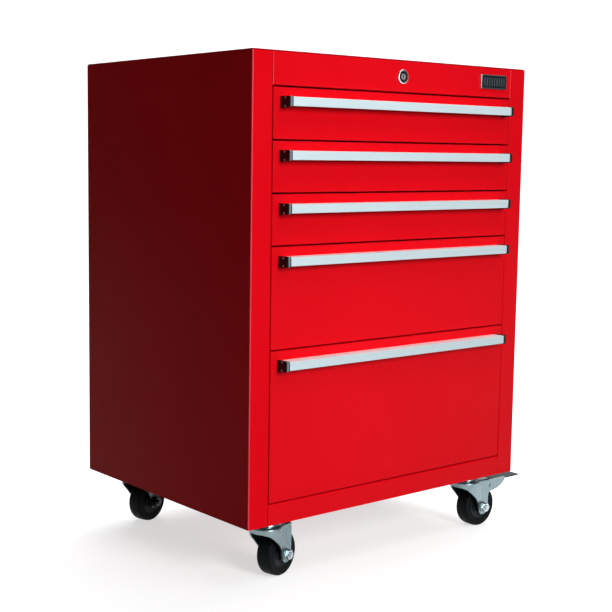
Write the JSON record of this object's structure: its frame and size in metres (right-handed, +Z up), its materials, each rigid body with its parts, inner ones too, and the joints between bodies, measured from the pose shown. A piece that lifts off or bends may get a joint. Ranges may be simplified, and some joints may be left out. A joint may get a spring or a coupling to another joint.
{
  "type": "tool cart",
  "caption": "Steel roller tool cabinet with stacked drawers, full-width pull handles, a keyed lock and swivel casters, the right-hand ones braked.",
  "frame": {"origin": "on the floor, below the centre of the cart's bounding box", "axes": "+Z up; the drawers open towards -Y; +X is to the right when facing the drawers"},
  "size_m": [0.6736, 0.4948, 0.8315],
  "materials": {
    "red_paint": "smooth gloss powder coat",
    "zinc_steel": "bright zinc plating",
    "satin_aluminium": "satin anodised",
    "black_plastic": "moulded satin",
    "lock_chrome": "polished",
    "plate_plastic": "satin dark grey",
    "wheel_rubber": "matt",
    "hub_plastic": "moulded satin"
  },
  "bodies": {
    "cabinet": {"side_panel_left": "red_paint", "side_panel_right": "red_paint", "back_panel": "red_paint", "top_panel": "red_paint", "bottom_pan": "red_paint", "lock_fascia": "red_paint", "bottom_rail": "red_paint", "slide_uprights": "zinc_steel", "slide_outer_rails": "zinc_steel", "lock_housing": "lock_chrome", "name_plate": "plate_plastic", "caster_plates": "zinc_steel", "caster_kingpins": "zinc_steel", "caster_plate_fasteners": "zinc_steel"},
    "lock_cylinder": {"lock_plug": "lock_chrome", "lock_cam": "zinc_steel"},
    "locking_bar": {"lock_bar": "zinc_steel"},
    "drawer_1": {"drawer1_box": "red_paint", "drawer1_handle": "satin_aluminium", "drawer1_end_caps": "black_plastic", "drawer1_slide_inner": "zinc_steel"},
    "slide_1": {"drawer1_slide_middle": "zinc_steel"},
    "drawer_2": {"drawer2_box": "red_paint", "drawer2_handle": "satin_aluminium", "drawer2_end_caps": "black_plastic", "drawer2_slide_inner": "zinc_steel"},
    "slide_2": {"drawer2_slide_middle": "zinc_steel"},
    "drawer_3": {"drawer3_box": "red_paint", "drawer3_handle": "satin_aluminium", "drawer3_end_caps": "black_plastic", "drawer3_slide_inner": "zinc_steel"},
    "slide_3": {"drawer3_slide_middle": "zinc_steel"},
    "drawer_4": {"drawer4_box": "red_paint", "drawer4_handle": "satin_aluminium", "drawer4_end_caps": "black_plastic", "drawer4_slide_inner": "zinc_steel"},
    "slide_4": {"drawer4_slide_middle": "zinc_steel"},
    "drawer_5": {"drawer5_box": "red_paint", "drawer5_handle": "satin_aluminium", "drawer5_end_caps": "black_plastic", "drawer5_slide_inner": "zinc_steel"},
    "slide_5": {"drawer5_slide_middle": "zinc_steel"},
    "swivel_fl": {"fork_fl": "zinc_steel", "axle_fl": "zinc_steel"},
    "wheel_fl": {"tyre_fl": "wheel_rubber", "hub_fl": "hub_plastic"},
    "swivel_fr": {"fork_fr": "zinc_steel", "axle_fr": "zinc_steel"},
    "wheel_fr": {"tyre_fr": "wheel_rubber", "hub_fr": "hub_plastic"},
    "pedal_fr": {"brake_pedal_fr": "zinc_steel"},
    "swivel_rl": {"fork_rl": "zinc_steel", "axle_rl": "zinc_steel"},
    "wheel_rl": {"tyre_rl": "wheel_rubber", "hub_rl": "hub_plastic"},
    "swivel_rr": {"fork_rr": "zinc_steel", "axle_rr": "zinc_steel"},
    "wheel_rr": {"tyre_rr": "wheel_rubber", "hub_rr": "hub_plastic"},
    "pedal_rr": {"brake_pedal_rr": "zinc_steel"}
  },
  "joints": [
    {"name": "lock_turn", "type": "hinge", "parent": "cabinet", "child": "lock_cylinder", "pos_m": [-0.0273, -0.22395, 0.8043], "axis": [0, 1, 0], "range_deg": [0, 90]},
    {"name": "locking_bar_slide", "type": "slide", "parent": "cabinet", "child": "locking_bar", "axis": [0, 0, -1], "range_m": [0, 0.0113]},
    {"name": "drawer_1_slide", "type": "slide", "parent": "cabinet", "child": "drawer_1", "axis": [0, -1, 0], "range_m": [0, 0.38]},
    {"name": "slide_1_travel", "type": "slide", "parent": "cabinet", "child": "slide_1", "axis": [0, -1, 0], "range_m": [0, 0.19]},
    {"name": "drawer_2_slide", "type": "slide", "parent": "cabinet", "child": "drawer_2", "axis": [0, -1, 0], "range_m": [0, 0.38]},
    {"name": "slide_2_travel", "type": "slide", "parent": "cabinet", "child": "slide_2", "axis": [0, -1, 0], "range_m": [0, 0.19]},
    {"name": "drawer_3_slide", "type": "slide", "parent": "cabinet", "child": "drawer_3", "axis": [0, -1, 0], "range_m": [0, 0.38]},
    {"name": "slide_3_travel", "type": "slide", "parent": "cabinet", "child": "slide_3", "axis": [0, -1, 0], "range_m": [0, 0.19]},
    {"name": "drawer_4_slide", "type": "slide", "parent": "cabinet", "child": "drawer_4", "axis": [0, -1, 0], "range_m": [0, 0.38]},
    {"name": "slide_4_travel", "type": "slide", "parent": "cabinet", "child": "slide_4", "axis": [0, -1, 0], "range_m": [0, 0.19]},
    {"name": "drawer_5_slide", "type": "slide", "parent": "cabinet", "child": "drawer_5", "axis": [0, -1, 0], "range_m": [0, 0.38]},
    {"name": "slide_5_travel", "type": "slide", "parent": "cabinet", "child": "slide_5", "axis": [0, -1, 0], "range_m": [0, 0.19]},
    {"name": "swivel_fl_turn", "type": "hinge", "parent": "cabinet", "child": "swivel_fl", "pos_m": [-0.264, -0.17745, 0.09], "axis": [0, 0, 1], "continuous": true},
    {"name": "wheel_fl_roll", "type": "hinge", "parent": "swivel_fl", "child": "wheel_fl", "pos_m": [-0.23641, -0.17031, 0.0375], "axis": [0.2504, -0.9681, 0], "continuous": true},
    {"name": "swivel_fr_turn", "type": "hinge", "parent": "cabinet", "child": "swivel_fr", "pos_m": [0.2054, -0.17745, 0.09], "axis": [0, 0, 1], "continuous": true},
    {"name": "wheel_fr_roll", "type": "hinge", "parent": "swivel_fr", "child": "wheel_fr", "pos_m": [0.2339, -0.17785, 0.0375], "axis": [-0.014, -0.9999, 0], "continuous": true},
    {"name": "pedal_fr_press", "type": "hinge", "parent": "swivel_fr", "child": "pedal_fr", "pos_m": [0.25339, -0.17812, 0.074], "axis": [0.014, 0.9999, 0], "range_deg": [0, 11]},
    {"name": "swivel_rl_turn", "type": "hinge", "parent": "cabinet", "child": "swivel_rl", "pos_m": [-0.264, 0.20095, 0.09], "axis": [0, 0, 1], "continuous": true},
    {"name": "wheel_rl_roll", "type": "hinge", "parent": "swivel_rl", "child": "wheel_rl", "pos_m": [-0.23658, 0.20871, 0.0375], "axis": [0.2723, -0.9622, 0], "continuous": true},
    {"name": "swivel_rr_turn", "type": "hinge", "parent": "cabinet", "child": "swivel_rr", "pos_m": [0.2054, 0.20095, 0.09], "axis": [0, 0, 1], "continuous": true},
    {"name": "wheel_rr_roll", "type": "hinge", "parent": "swivel_rr", "child": "wheel_rr", "pos_m": [0.23355, 0.20541, 0.0375], "axis": [0.1564, -0.9877, 0], "continuous": true},
    {"name": "pedal_rr_press", "type": "hinge", "parent": "swivel_rr", "child": "pedal_rr", "pos_m": [0.25281, 0.20846, 0.074], "axis": [-0.1564, 0.9877, 0], "range_deg": [0, 11]}
  ],
  "couplings": [
    {"joint": "lock_turn", "follows": "locking_bar_slide", "rad_per_m": 138.84},
    {"joint": "slide_1_travel", "follows": "drawer_1_slide", "ratio": 0.5},
    {"joint": "slide_2_travel", "follows": "drawer_2_slide", "ratio": 0.5},
    {"joint": "slide_3_travel", "follows": "drawer_3_slide", "ratio": 0.5},
    {"joint": "slide_4_travel", "follows": "drawer_4_slide", "ratio": 0.5},
    {"joint": "slide_5_travel", "follows": "drawer_5_slide", "ratio": 0.5}
  ]
}
